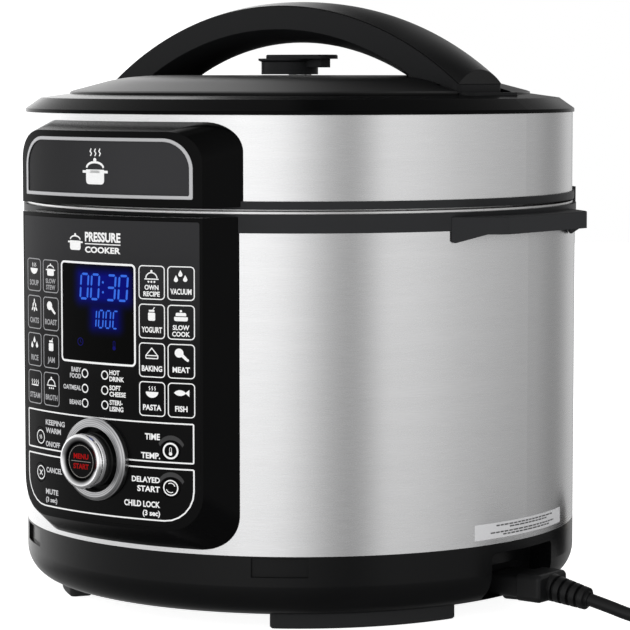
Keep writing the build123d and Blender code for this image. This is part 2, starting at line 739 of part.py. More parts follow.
def steam_valve():
    body = turned([
        (0, 270.9), (15.0, 270.9), (15.0, 277.4), (16.6, 278.2), (16.6, 279.2), (0, 279.2)], VALVE_X)
    body -= cylinder(PIPE_R + 0.06, 270.0, 277.0)
    cap = cylinder(12.0, 278.6, 280.0, VALVE_X, 0)
    tail = make_face([
        CenterArc((0, 0), 12.5, 90, 180),
        Line((0, -12.5), (26.0, -7.5)),
        ThreePointArc((26.0, -7.5), (29.5, 0), (26.0, 7.5)),
        Line((26.0, 7.5), (0, 12.5))])
    flag = Pos(VALVE_X, 0, 279.0) * extrude(tail, 2.2)
    flag = fillet(flag.edges().group_by(Axis.Z)[-1], 0.8)
    fin = block(VALVE_X + 14, VALVE_X + 24, -4, 4, 274.5, 279.5)
    keep("steam_valve", body + cap + flag + fin)


# ---- power inlet and cord set --------------------------------------------------------------
def inlet_socket():
    shell = block(111, RECESS_BACK - 0.1, -15.9, 15.9, 11.1, 23.9)
    shell -= block(114, 135, -11.7, 11.7, CONNECTOR_Z - 4.6, CONNECTOR_Z + 4.6)
    for y in (-7, 0, 7):
        shell += block(109.5, 124, y - 2, y + 2, CONNECTOR_Z - 1, CONNECTOR_Z + 1)
    keep("inlet_socket", shell)


def connector():
    nose = block(116, 133, -11.4, 11.4, CONNECTOR_Z - 4.3, CONNECTOR_Z + 4.3)
    for y in (-7, 0, 7):
        nose -= block(112, 125, y - 2.3, y + 2.3, CONNECTOR_Z - 1.3, CONNECTOR_Z + 1.3)
    neck = block(131.5, 148.0, -12.0, 12.0, CONNECTOR_Z - 5.5, CONNECTOR_Z + 5.5)
    neck = fillet(neck.edges().filter_by(Axis.X), 2.0)
    grip = block(148.0, 161.4, -13.0, 13.0, CONNECTOR_Z - 7.0, CONNECTOR_Z + 7.0)
    grip = fillet(grip.edges().filter_by(Axis.X), 3.0)
    grip = fillet(grip.edges().group_by(Axis.X)[-1], 2.0)
    keep("connector", nose + neck + grip)


def strain_relief():
    """A tapered sleeve with ribs, moulded onto the connector's back."""
    start = Vector(*RELIEF_START)
    end = Vector(*RELIEF_END)
    length = (end - start).length
    pitch = length / RELIEF_RIBS
    outline = [(0, 0)]
    for k in range(RELIEF_RIBS):
        radius = 7.0 - 0.3 * k
        outline += [(radius, k * pitch), (radius - 0.2, (k + 0.62) * pitch)]
        outline += [(radius - 2.0, (k + 0.66) * pitch), (radius - 2.1, (k + 1) * pitch)]
    outline.append((0, length))
    axis = Plane(origin=start, x_dir=(0, 1, 0), z_dir=(end - start).normalized())
    keep("strain_relief", axis.location * turned(outline))


def smooth_path(points):
    """Straight runs with an arc at each corner that is as large as the shorter run allows."""
    radii = []
    vectors = [Vector(*p) for p in points]
    for a, b, c in zip(vectors, vectors[1:], vectors[2:]):
        turn = math.radians((b - a).get_angle(c - b))
        shorter = min((b - a).length, (c - b).length)
        radii.append(0.45 * shorter / math.tan(turn / 2))
    print("cord radii", [round(r, 1) for r in radii])
    return FilletPolyline(*points, radius=radii)


def cord_along(name, points):
    path = smooth_path(points)
    profile = Plane(origin=path @ 0, z_dir=path % 0) * Circle(CORD_R)
    tube = sweep(profile, path=path)
    print(name, "length", round(path.length, 1), "volume ratio",
          round(tube.volume / (path.length * math.pi * CORD_R ** 2), 4))
    keep(name, tube)


def lead_route():
    """From the strain relief down to the floor and into the coil's outer turn."""
    entry_y = COIL_CENTRE[1] - COIL_OUTER + CORD_R
    return [
        RELIEF_END, (193.5, 0.0, 10.0), (205.0, 3.0, 6.2), (217.0, 9.0, 3.6),
        (228.0, entry_y - 2.0, 3.45), (COIL_CENTRE[0] + 2.0, entry_y + 0.6, 3.45)]


def tail_route():
    """From the coil's far side up to the plug, which lies behind the cooker."""
    exit_y = COIL_CENTRE[1] + COIL_OUTER - CORD_R
    return [
        (COIL_CENTRE[0] - 2.0, exit_y - 0.3, 3.45), (222.0, exit_y + 1.0, 4.4),
        (206.0, 108.0, 8.5), (191.0, 115.5, 14.5), (177.0, 124.5, 18.3), (164.0, 134.5, 19.4)]


def cord_coil():
    x, y = COIL_CENTRE
    keep("cord_coil", ring(COIL_INNER, COIL_OUTER, 0.2, COIL_HEIGHT, x, y))


def cord_tie():
    x, y = COIL_CENTRE
    width = (COIL_OUTER - COIL_INNER) / 2 + 1.6
    tie = block(-width, width, -3, 3, 0, COIL_HEIGHT + 1.4)
    tie -= block(-width + 1.4, width - 1.4, -4, 4, 0.2, COIL_HEIGHT)
    tie = Pos(x, y, 0) * Rot(0, 0, 20) * Pos(COIL_MEAN_R, 0, 0) * tie
    keep("cord_tie", tie)


def plug_plane():
    route = [Vector(*p) for p in tail_route()]
    along = route[-1] - route[-2]
    along = Vector(along.X, along.Y, 0).normalized()
    return Plane(origin=route[-1], x_dir=(0, 0, 1), z_dir=along)


def plug():
    frame = plug_plane()
    sections = []
    for distance, radius in ((0.0, 5.5), (14.0, 8.5), (20.0, 15.5), (26.0, 19.0)):
        sections.append(frame.offset(distance) * Circle(radius))
    grip = loft(sections, ruled=True)
    face = extrude(frame.offset(26.0) * Circle(19.0), 12.0)
    for y in (-21.0, 21.0):
        face -= extrude(frame.offset(24.0) * Pos(0, y) * Rectangle(8, 8), 16.0)
    keep("plug", grip + face)


def plug_pins():
    frame = plug_plane()
    pins = [extrude(frame.offset(38.0) * Pos(0, y) * Circle(2.4), 18.5) for y in (-9.5, 9.5)]
    keep("plug_pins", grouped(pins))


# ---- fasteners -------------------------------------------------------------------------------
def base_screws():
    """Two screws hold the bracket on its posts."""
    screws = [screw(x, 0, BRACKET_Z + 3.5, 9.0) for x in (-104, 104)]
    keep("base_screws", grouped(screws))


def main():
    base_shell()
    feet()
    body_shell()
    body_collar()
    rear_gutter()
    carry_handle(1, "carry_handle_right")
    carry_handle(-1, "carry_handle_left")
    condensate_cup()
    cup_rails()
    body_label()
    outer_pot()
    heat_shield()
    inner_pot()
    heating_plate()
    heating_tube()
    pressure_bracket()
    pressure_switch()
    pot_sensor()
    sensor_spring()
    power_board()
    control_board()
    display_module()
    encoder()
    panel_housing()
    front_film()
    display_window()
    knob_bezel()
    knob_dial()
    knob_cap()
    buttons()
    pressure_plate()
    seal_gasket()
    exhaust_pipe()
    block_shield()
    float_valve()
    locking_ring()
    lid_skirt()
    lid_band()
    lid_rim()
    lid_dome()
    lid_front()
    lid_front_frame()
    lid_front_plate()
    handle_shell()
    handle_cover()
    lid_screws()
    steam_valve()
    inlet_socket()
    connector()
    strain_relief()
    cord_along("cord_lead", lead_route())
    cord_along("cord_tail", tail_route())
    cord_coil()
    cord_tie()
    plug()
    plug_pins()
    base_screws()
    os.makedirs("parts", exist_ok=True)
    for name, shape in parts.items():
        export_step(shape, f"parts/{name}.step")
    print(len(parts), "nodes")


main()
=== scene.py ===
import json
import math

import bmesh
import bpy
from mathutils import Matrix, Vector


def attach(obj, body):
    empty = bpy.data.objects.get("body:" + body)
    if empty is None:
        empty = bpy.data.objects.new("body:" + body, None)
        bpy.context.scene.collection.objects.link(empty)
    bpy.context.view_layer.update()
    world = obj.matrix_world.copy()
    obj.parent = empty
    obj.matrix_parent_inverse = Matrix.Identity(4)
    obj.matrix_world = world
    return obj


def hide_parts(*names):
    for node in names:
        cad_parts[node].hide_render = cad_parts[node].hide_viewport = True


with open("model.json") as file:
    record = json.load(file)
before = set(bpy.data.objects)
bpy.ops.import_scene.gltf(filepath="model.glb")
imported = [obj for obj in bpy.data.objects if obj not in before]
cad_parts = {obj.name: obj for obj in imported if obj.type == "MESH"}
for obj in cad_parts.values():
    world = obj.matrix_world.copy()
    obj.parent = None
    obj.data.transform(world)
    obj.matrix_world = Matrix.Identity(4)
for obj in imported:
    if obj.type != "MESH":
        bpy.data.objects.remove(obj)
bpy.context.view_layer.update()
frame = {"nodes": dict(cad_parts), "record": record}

# Frame coordinates are in metres. Places on the front panel, the knob, the label and the
# cord are in millimetres, as in the CAD model, and are turned to metres by MM.
MM = 0.001

# ---- camera ------------------------------------------------------------------------------
CAMERA_PLACE = (0.9066, -1.1414, 0.2712)
CAMERA_LOOK = (-0.6154, 0.7834, -0.0873)
CAMERA_LENS = 157.29
CAMERA_SENSOR = 36.0

# ---- the front panel's curved face -------------------------------------------------------
FACE_R = 161.6
FACE_Y = 1.7
PLATE_SETBACK = 0.3
# Painted shade on the film: darkest at the first height, lightest at the second.
FILM_DARK_Z = 118.0
FILM_LIGHT_Z = 200.0
# Painted shade on the lid's plate: darkest at the first place across, lightest at the second.
PLATE_DARK_X = -50.0
PLATE_LIGHT_X = 30.0

# ---- the display's glow: its centre, its half size and how far it fades, on the panel ----
CLOCK_GLOW = ((4.6, 168.2), (14.6, 5.4), 8.0)
HEAT_GLOW = ((6.1, 152.8), (7.4, 3.8), 7.0)

# ---- the knob: its axis runs along Y at DIAL_Z -------------------------------------------
DIAL_Z = 84.0
CAP_FRONT = -170.9
CHROME_BACK = -167.1
# Painted shade darkens the chrome round the cap: fully within the first radius, fading out by the
# second.
DISH_DARK_R = 9.6
DISH_LIGHT_R = 12.2

# ---- the label on the steel sleeve -------------------------------------------------------
LABEL_R = 145.15
# Each line of bars on it: its height, and where it starts and stops along the arc.
LABEL_LINES = ((48.0, -24.0, 27.0), (46.7, -14.0, 20.5), (44.6, -28.0, 29.0), (43.3, -19.0, 23.0))

# ---- prints: how far they stand off, their depth, the weld distance and the strips' width 
PRINT_LIFT = 0.05
PRINT_DEPTH = 0.04
PRINT_WELD = 0.0001
PRINT_STRIP = 3.0

# ---- the cord ----------------------------------------------------------------------------
CORD_DIAMETER = 6.5
COIL_CENTRE = (238.0, 62.0)
COIL_STEPS = 24
FLOOR_LAYER = CORD_DIAMETER / 2 + 0.2
# The radii of the three turns that lie side by side on the floor.
LANES = (42.5, 36.0, 29.5)
# The share of a turn after which the cord steps to the next lane, and where round the middle
# lane's cord it lies: beside it, in the outer groove above it, and in the inner one.
STEP_FROM = 0.85
BESIDE = 180.0
OUTER_GROOVE = 120.0
INNER_GROOVE = 60.0
COIL_TURNS = 4.5


# ---- camera ------------------------------------------------------------------------------
def add_camera():
    data = bpy.data.cameras.new("camera")
    data.lens = CAMERA_LENS
    data.sensor_width = CAMERA_SENSOR
    camera = bpy.data.objects.new("camera", data)
    camera.location = CAMERA_PLACE
    camera.rotation_euler = Vector(CAMERA_LOOK).to_track_quat("-Z", "Y").to_euler()
    bpy.context.collection.objects.link(camera)
    bpy.context.scene.camera = camera


# ---- cord --------------------------------------------------------------------------------
def ease(value, low, high):
    """0 below low, 1 above high, and a smooth step between them."""
    share = min(max((value - low) / (high - low), 0.0), 1.0)
    return share * share * (3 - 2 * share)


def over_lane(degrees, lane=LANES[1]):
    """A cord that lies against the one in this lane, this far round it: (radius, height)."""
    turn = math.radians(degrees)
    return (lane + CORD_DIAMETER * math.cos(turn), FLOOR_LAYER + CORD_DIAMETER * math.sin(turn))


def coil_section(turn):
    """(radius, height) of the wound cord after this many turns.

    Three turns lie side by side on the floor, each stepping inwards at the end of its turn.
    The third climbs into the groove above them, and the rest lies in the upper layer.
    """
    lap = int(turn)
    phase = turn - lap
    step = ease(phase, STEP_FROM, 1.0)
    hump = (CORD_DIAMETER - over_lane(INNER_GROOVE)[1] + FLOOR_LAYER) * math.sin(math.pi * step)
    if lap < 2:
        return LANES[lap] + (LANES[lap + 1] - LANES[lap]) * step, FLOOR_LAYER
    if lap == 2:
        climb = ease(phase, STEP_FROM - 0.16, STEP_FROM)
        radius, height = over_lane(BESIDE + (OUTER_GROOVE - BESIDE) * climb)
        return radius, height + hump
    if lap == 3:
        crossing = ease(phase, 0.52, 0.68)
        radius, height = over_lane(OUTER_GROOVE + (INNER_GROOVE - OUTER_GROOVE) * crossing)
        return radius, height + hump
    return over_lane(INNER_GROOVE)


def coil_route():
    """The turns run anticlockwise, from the coil's front to its back."""
    route = []
    for k in range(1, int(COIL_TURNS * COIL_STEPS)):
        turn = k / COIL_STEPS
        radius, height = coil_section(turn)
        angle = 2 * math.pi * turn - math.pi / 2
        x = COIL_CENTRE[0] + radius * math.cos(angle)
        y = COIL_CENTRE[1] + radius * math.sin(angle)
        route.append((x, y, height))
    return route


def lead_route():
    """From the strain relief down to the floor and to the coil's front."""
    return [(183.0, 0.0, 12.0), (193.5, 0.0, 10.0), (205.0, 3.0, 6.2), (217.0, 9.0, 3.6),
            (228.0, 17.5, 3.45), (238.0, 19.5, 3.45)]


def tail_route():
    """From the coil's back to the plug."""
    return [(238.0, 101.3, 9.1), (226.0, 101.9, 10.2), (215.0, 104.0, 10.6), (203.0, 108.5, 11.6),
            (191.0, 115.5, 14.5), (177.0, 124.5, 18.3), (164.0, 134.5, 19.4)]


def add_cord():
    route = lead_route() + coil_route() + tail_route()
    curve = bpy.data.curves.new("mains_cord", "CURVE")
    curve.dimensions = "3D"
    # A bevel of 1 leaves the thickness to the points' radius, so the curve's box is true.
    curve.bevel_depth = 1.0
    curve.bevel_resolution = 5
    curve.resolution_u = 6
    curve.use_fill_caps = True
    spline = curve.splines.new("NURBS")
    spline.points.add(len(route) - 1)
    for point, place in zip(spline.points, route):
        point.co = (*[c * MM for c in place], 1)
        point.radius = CORD_DIAMETER / 2 * MM
    spline.order_u = 3
    spline.use_endpoint_u = True
    cord = bpy.data.objects.new("mains_cord", curve)
    bpy.context.collection.objects.link(cord)
    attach(cord, "cooker")
    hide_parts("cord_lead", "cord_coil", "cord_tail")
    return cord


# ---- node helpers ------------------------------------------------------------------------
def new_material(name):
    material = bpy.data.materials.new(name)
    material.use_nodes = True
    return material, material.node_tree, material.node_tree.nodes["Principled BSDF"]


def node(tree, kind, **values):
    made = tree.nodes.new(kind)
    for name, value in values.items():
        setattr(made, name, value)
    return made


def math_node(tree, operation, first, second=None):
    made = node(tree, "ShaderNodeMath", operation=operation)
    for socket, value in zip(made.inputs, (first, second)):
        if value is None:
            continue
        if isinstance(value, (int, float)):
            socket.default_value = value
        else:
            tree.links.new(value, socket)
    return made.outputs[0]


def spread(tree, value, low, high):
    """value runs from 0 to 1; the result runs from low to high."""
    made = node(tree, "ShaderNodeMapRange")
    tree.links.new(value, made.inputs["Value"])
    made.inputs["To Min"].default_value = low
    made.inputs["To Max"].default_value = high
    return made.outputs["Result"]


def noise(tree, vector, scale, detail=2.0, roughness=0.5):
    made = node(tree, "ShaderNodeTexNoise")
    made.inputs["Scale"].default_value = scale
    made.inputs["Detail"].default_value = detail
    made.inputs["Roughness"].default_value = roughness
    tree.links.new(vector, made.inputs["Vector"])
    return made.outputs["Fac"]


def object_place(tree):
    return node(tree, "ShaderNodeTexCoord").outputs["Object"]


def separate(tree, vector):
    made = node(tree, "ShaderNodeSeparateXYZ")
    tree.links.new(vector, made.inputs[0])
    return made.outputs


def from_dial_axis(tree, place):
    """The distance from the knob's axis."""
    height = math_node(tree, "SUBTRACT", place["Z"], DIAL_Z * MM)
    square = math_node(tree, "ADD", math_node(tree, "MULTIPLY", height, height),
                       math_node(tree, "MULTIPLY", place["X"], place["X"]))
    return math_node(tree, "SQRT", square)


def smooth_share(tree, value, low, high):
    """0 below low, 1 above high, and a smooth step between them."""
    made = node(tree, "ShaderNodeMapRange", interpolation_type="SMOOTHSTEP")
    made.inputs["From Min"].default_value = low
    made.inputs["From Max"].default_value = high
    tree.links.new(value, made.inputs["Value"])
    return made.outputs["Result"]


def add_bump(tree, shader, height, distance, strength, edge=0.0):
    """A bump, on top of softened edges where edge is their radius."""
    bump = node(tree, "ShaderNodeBump")
    bump.inputs["Distance"].default_value = distance
    bump.inputs["Strength"].default_value = strength
    tree.links.new(height, bump.inputs["Height"])
    if edge:
        bevel = node(tree, "ShaderNodeBevel", samples=4)
        bevel.inputs["Radius"].default_value = edge
        tree.links.new(bevel.outputs["Normal"], bump.inputs["Normal"])
    tree.links.new(bump.outputs["Normal"], shader.inputs["Normal"])


def two_colours(tree, shader, factor, first, second):
    mix = node(tree, "ShaderNodeMix", data_type="RGBA")
    mix.inputs["A"].default_value = (*first, 1)
    mix.inputs["B"].default_value = (*second, 1)
    tree.links.new(factor, mix.inputs["Factor"])
    tree.links.new(mix.outputs["Result"], shader.inputs["Base Color"])


# ---- materials ---------------------------------------------------------------------------
def plastic(name, dark, light, rough, grain, edge=0.0005, specular=0.5):
    """Moulded plastic: a fine spark texture, with slow changes of gloss across it."""
    material, tree, shader = new_material(name)
    place = object_place(tree)
    fine = noise(tree, place, 2600.0, 3.0)
    slow = noise(tree, place, 14.0, 3.0)
    two_colours(tree, shader, slow, dark, light)
    shader.inputs["Specular IOR Level"].default_value = specular
    tree.links.new(spread(tree, slow, *rough), shader.inputs["Roughness"])
    add_bump(tree, shader, fine, 0.00004, grain, edge)
    return material


def black_plastic(name, level, rough, grain, edge=0.0005, specular=0.5):
    """A near black that leans a little to blue."""
    dark = [level * part for part in (0.85, 0.87, 0.92)]
    light = [level * part for part in (1.10, 1.13, 1.20)]
    return plastic(name, dark, light, rough, grain, edge, specular)


def brushed_steel():
    """Stainless sheet brushed around the body: short streaks along the circle."""
    material, tree, shader = new_material("brushed_steel")
    place = separate(tree, object_place(tree))
    angle = math_node(tree, "ARCTAN2", place["Y"], place["X"])
    around = node(tree, "ShaderNodeCombineXYZ")
    tree.links.new(math_node(tree, "MULTIPLY", angle, 14.0), around.inputs["X"])
    tree.links.new(math_node(tree, "MULTIPLY", place["Z"], 1500.0), around.inputs["Y"])
    streak = noise(tree, around.outputs[0], 1.0, 5.0, 0.65)
    slow = noise(tree, around.outputs[0], 0.11, 3.0, 0.6)
    two_colours(tree, shader, streak, (0.62, 0.62, 0.625), (0.80, 0.80, 0.805))
    shader.inputs["Metallic"].default_value = 1.0
    shader.inputs["Anisotropic"].default_value = 0.7
    shader.inputs["Anisotropic Rotation"].default_value = 0.25
    mixed = math_node(tree, "ADD", math_node(tree, "MULTIPLY", streak, 0.6),
                      math_node(tree, "MULTIPLY", slow, 0.4))
    tree.links.new(spread(tree, mixed, 0.20, 0.34), shader.inputs["Roughness"])
    tangent = node(tree, "ShaderNodeTangent", direction_type="RADIAL", axis="Z")
    tree.links.new(tangent.outputs[0], shader.inputs["Tangent"])
    add_bump(tree, shader, streak, 0.00002, 0.12)
    return material


def metal(name, colour, rough, scale=60.0, stretch=(1, 1, 1), edge=0.0004):
    """Bare or coated metal, mottled a little in colour and gloss."""
    material, tree, shader = new_material(name)
    mapping = node(tree, "ShaderNodeMapping")
    mapping.inputs["Scale"].default_value = stretch
    tree.links.new(object_place(tree), mapping.inputs["Vector"])
    mottle = noise(tree, mapping.outputs[0], scale, 4.0, 0.6)
    two_colours(tree, shader, mottle, [c * 0.9 for c in colour], colour)
    shader.inputs["Metallic"].default_value = 1.0
    tree.links.new(spread(tree, mottle, *rough), shader.inputs["Roughness"])
    add_bump(tree, shader, mottle, 0.00002, 0.15, edge)
    return material


def spun_silver():
    """A spun aluminium ring with fine circles turned around the dial's axis."""
    material, tree, shader = new_material("spun_silver")
    radius = from_dial_axis(tree, separate(tree, object_place(tree)))
    wave = math_node(tree, "SINE", math_node(tree, "MULTIPLY", radius, 7000.0))
    lines = math_node(tree, "ADD", math_node(tree, "MULTIPLY", wave, 0.5), 0.5)
    two_colours(tree, shader, lines, (0.30, 0.30, 0.305), (0.58, 0.58, 0.59))
    shader.inputs["Metallic"].default_value = 1.0
    shader.inputs["Roughness"].default_value = 0.33
    add_bump(tree, shader, wave, 0.00003, 0.25, 0.0004)
    return material


def glow_box(tree, place, centre, half, soft):
    """1 inside a box on the panel, fading to 0 over soft millimetres around it."""
    reach = []
    for axis, middle, size in (("X", centre[0], half[0]), ("Z", centre[1], half[1])):
        offset = math_node(tree, "SUBTRACT", place[axis], middle * MM)
        away = math_node(tree, "SUBTRACT", math_node(tree, "ABSOLUTE", offset), size * MM)
        away = math_node(tree, "MAXIMUM", away, 0.0)
        reach.append(math_node(tree, "MULTIPLY", away, away))
    far = math_node(tree, "SQRT", math_node(tree, "ADD", reach[0], reach[1]))
    fade = math_node(tree, "SUBTRACT", 1.0, math_node(tree, "DIVIDE", far, soft * MM))
    fade = math_node(tree, "MAXIMUM", fade, 0.0)
    return math_node(tree, "POWER", fade, 3.0)


def display_lens():
    """The dark window, with a blue glow around its figures."""
    material, tree, shader = new_material("display_lens")
    point = object_place(tree)
    place = separate(tree, point)
    clock = glow_box(tree, place, *CLOCK_GLOW)
    heat = glow_box(tree, place, *HEAT_GLOW)
    level = math_node(tree, "ADD", clock, math_node(tree, "MULTIPLY", heat, 0.7))
    shader.inputs["Base Color"].default_value = (0.0015, 0.0015, 0.0015, 1)
    shader.inputs["Specular IOR Level"].default_value = 0.02
    shader.inputs["Emission Color"].default_value = (0.0, 0.012, 1.0, 1)
    tree.links.new(math_node(tree, "MULTIPLY", level, 0.17), shader.inputs["Emission Strength"])
    slow = noise(tree, point, 30.0)
    tree.links.new(spread(tree, slow, 0.16, 0.22), shader.inputs["Roughness"])
    return material


def lit_figures(name, colour, strength):
    """Something that glows in a colour, a little unevenly."""
    material, tree, shader = new_material(name)
    grainy = noise(tree, object_place(tree), 900.0)
    shader.inputs["Base Color"].default_value = (0.0, 0.0, 0.0, 1)
    shader.inputs["Specular IOR Level"].default_value = 0.05
    shader.inputs["Emission Color"].default_value = (*colour, 1)
    tree.links.new(spread(tree, grainy, strength * 0.85, strength),
                   shader.inputs["Emission Strength"])
    return material


def ink(name, colour, worn):
    """A printed colour, uneven on a small scale."""
    material, tree, shader = new_material(name)
    grainy = noise(tree, object_place(tree), 1400.0, 3.0)
    two_colours(tree, shader, grainy, worn, colour)
    shader.inputs["Roughness"].default_value = 0.45
    add_bump(tree, shader, grainy, 0.00002, 0.1)
    return material


def film_with_painted_shade(name, axis, dark_at, light_at, dark, light):
    """A dark printed sheet with painted shade, which pales from one place to another along an axis.
    """
    material, tree, shader = new_material(name)
    point = object_place(tree)
    share = smooth_share(tree, separate(tree, point)[axis], dark_at * MM, light_at * MM)
    # Painted shade: the sheet goes from the dark tone to the light one along the axis.
    shade_tones = [(level, level, level * 1.06) for level in (dark, light)]
    two_colours(tree, shader, share, *shade_tones)
    shader.inputs["Specular IOR Level"].default_value = 0.05
    slow = noise(tree, point, 22.0, 3.0)
    tree.links.new(spread(tree, slow, 0.18, 0.24), shader.inputs["Roughness"])
    add_bump(tree, shader, slow, 0.00002, 0.05, 0.0003)
    return material


def dial_finish():
    """Polished chrome on the dial's rim, darkened by painted shade in its dish, and black plastic
    on its skirt.
    """
    material, tree, shader = new_material("dial_finish")
    point = object_place(tree)
    place = separate(tree, point)
    chrome = math_node(tree, "LESS_THAN", place["Y"], CHROME_BACK * MM)
    # Painted shade: the chrome is near black in the dish and takes its own colour outside it.
    outward = smooth_share(tree, from_dial_axis(tree, place), DISH_DARK_R * MM, DISH_LIGHT_R * MM)
    bright = math_node(tree, "MULTIPLY", chrome, outward)
    two_colours(tree, shader, bright, (0.006, 0.006, 0.006), (0.84, 0.84, 0.85))
    tree.links.new(chrome, shader.inputs["Metallic"])
    slow = noise(tree, point, 120.0, 3.0)
    tarnish = math_node(tree, "MULTIPLY", slow, 0.05)
    skirt = math_node(tree, "MULTIPLY", math_node(tree, "SUBTRACT", 1.0, chrome), 0.22)
    rough = math_node(tree, "ADD", math_node(tree, "ADD", tarnish, skirt), 0.05)
    tree.links.new(rough, shader.inputs["Roughness"])
    add_bump(tree, shader, slow, 0.00001, 0.05, 0.0003)
    return material


def slot_materials():
    """One material for each slot of the record."""
    return {
        "body_plastic": black_plastic("body_plastic", 0.021, (0.38, 0.48), 0.35, specular=0.07),
        "gloss_plastic": black_plastic("gloss_plastic", 0.0018, (0.16, 0.22), 0.06, specular=0.045),
        "steel_sleeve": brushed_steel(),
        "pot_steel": metal("pot_steel", (0.66, 0.66, 0.66), (0.22, 0.36), 90.0, (1, 1, 12)),
        "pot_coating": black_plastic("pot_coating", 0.04, (0.40, 0.55), 0.8),
        "aluminium": metal("aluminium", (0.72, 0.72, 0.73), (0.32, 0.5), 160.0),
        "foot_rubber": black_plastic("foot_rubber", 0.012, (0.55, 0.7), 0.6, specular=0.2),
        "gasket_silicone": plastic("gasket_silicone", (0.5, 0.5, 0.49), (0.6, 0.6, 0.58),
                                   (0.38, 0.5), 0.3),
        "chrome": metal("chrome", (0.86, 0.86, 0.87), (0.04, 0.09), 40.0),
        "silver_trim": spun_silver(),
        "plate_insert": black_plastic("plate_insert", 0.030, (0.38, 0.46), 0.5, specular=0.05),
        "window": display_lens(),
        "board": plastic("board", (0.01, 0.08, 0.03), (0.015, 0.12, 0.045), (0.35, 0.5), 0.3),
        "electrics": black_plastic("electrics", 0.04, (0.45, 0.6), 0.4),
        "label": plastic("label", (0.50, 0.50, 0.51), (0.56, 0.56, 0.57), (0.35, 0.45), 0.1, 0.0),
        "cord_rubber": black_plastic("cord_rubber", 0.005, (0.34, 0.44), 0.5, specular=0.2),
        "pins": metal("pins", (0.78, 0.74, 0.64), (0.15, 0.3)),
        "screw_steel": metal("screw_steel", (0.6, 0.6, 0.6), (0.25, 0.4)),
    }


def own_materials():
    """Nodes whose finish differs from the rest of their slot."""
    return {
        "lid_front_frame": metal("silver_paint", (0.46, 0.46, 0.47), (0.32, 0.4), 300.0),
        "lid_dome": black_plastic("dome_plastic", 0.004, (0.26, 0.32), 0.2, specular=0.13),
        "lid_rim": black_plastic("rim_plastic", 0.002, (0.14, 0.20), 0.1, specular=0.025),
        "handle_cover": black_plastic("cover_plastic", 0.004, (0.20, 0.26), 0.1, specular=0.16),
        "handle_shell": black_plastic("shell_plastic", 0.011, (0.40, 0.5), 0.4, specular=0.1),
        # The film carries painted shade that darkens it towards the bottom.
        "front_film": film_with_painted_shade("film_painted_shade", "Z", FILM_DARK_Z, FILM_LIGHT_Z, 0.002, 0.024),
        # The lid's plate carries painted shade that darkens it towards negative X.
        "lid_front_plate": film_with_painted_shade("plate_painted_shade", "X", PLATE_DARK_X, PLATE_LIGHT_X,
                                       0.014, 0.029),
        "inlet_socket": black_plastic("socket_plastic", 0.003, (0.45, 0.55), 0.3, specular=0.04),
        "base_shell": black_plastic("base_plastic", 0.003, (0.20, 0.27), 0.15, specular=0.13),
        "knob_dial": dial_finish(),
    }


def paint_cad_nodes(finishes):
    """Gives every CAD node its own material, or its slot's."""
    own = own_materials()
    for entry in frame["record"]["subparts"]:
        name = entry["node"]
        mesh = frame["nodes"][name].data
        mesh.materials.clear()
        mesh.materials.append(own.get(name) or finishes[entry["material_slot"]])


# ---- light -------------------------------------------------------------------------------
# The studio as the brushed sleeve shows it: how bright it is at each plan angle, in degrees
# from +X towards +Y, seen level.
STUDIO_AROUND = (
    (-180, 0.90), (-150, 0.70), (-110, 0.70), (-74, 0.94), (-60, 0.86), (-50, 0.66), (-40, 0.43),
    (-31, 0.30), (-26, 0.38), (-17, 0.66), (0, 0.59), (17, 0.48), (36, 0.40), (59, 0.32),
    (76, 0.205), (84, 0.215), (98, 0.37), (112, 0.40), (120, 0.14), (127, 0.12), (131, 0.85),
    (180, 0.90))
# How bright it is at each height, as the sine of the elevation.
STUDIO_UPWARD = ((-1.0, 0.10), (-0.35, 0.25), (-0.12, 0.85), (0.10, 1.0), (0.45, 0.70), (1.0, 0.45))
STUDIO_GAIN = 1.88
# The floor is white paper that glows, a little under the feet. The lengths are in metres.
FLOOR_R = 3.0
FLOOR_DROP = 0.0002
FLOOR_GLOW = 0.92


def ramp(tree, value, stops, low, high):
    """A smooth curve through stops, which run from low to high."""
    made = node(tree, "ShaderNodeValToRGB")
    tree.links.new(value, made.inputs["Fac"])
    elements = made.color_ramp.elements
    while len(elements) < len(stops):
        elements.new(0.5)
    for element, (place, level) in zip(elements, stops):
        element.position = (place - low) / (high - low)
        element.color = (level, level, level, 1)
    return made.outputs["Color"]


def add_studio():
    """The light all round, and a white background where the camera looks past the object."""
    world = bpy.data.worlds.new("studio")
    bpy.context.scene.world = world
    world.use_nodes = True
    tree = world.node_tree
    background = tree.nodes["Background"]
    direction = separate(tree, node(tree, "ShaderNodeTexCoord").outputs["Generated"])
    angle = math_node(tree, "ARCTAN2", direction["Y"], direction["X"])
    share = math_node(tree, "ADD", math_node(tree, "DIVIDE", angle, 2 * math.pi), 0.5)
    around = ramp(tree, share, STUDIO_AROUND, -180, 180)
    lift = math_node(tree, "ADD", math_node(tree, "MULTIPLY", direction["Z"], 0.5), 0.5)
    upward = ramp(tree, lift, STUDIO_UPWARD, -1, 1)
    level = math_node(tree, "MULTIPLY", around, upward)
    level = math_node(tree, "MULTIPLY", level, STUDIO_GAIN)
    seen = node(tree, "ShaderNodeLightPath").outputs["Is Camera Ray"]
    strength = math_node(tree, "MAXIMUM", level, seen)
    background.inputs["Color"].default_value = (1, 1, 1, 1)
    tree.links.new(strength, background.inputs["Strength"])
    bpy.context.scene.view_settings.view_transform = "Standard"


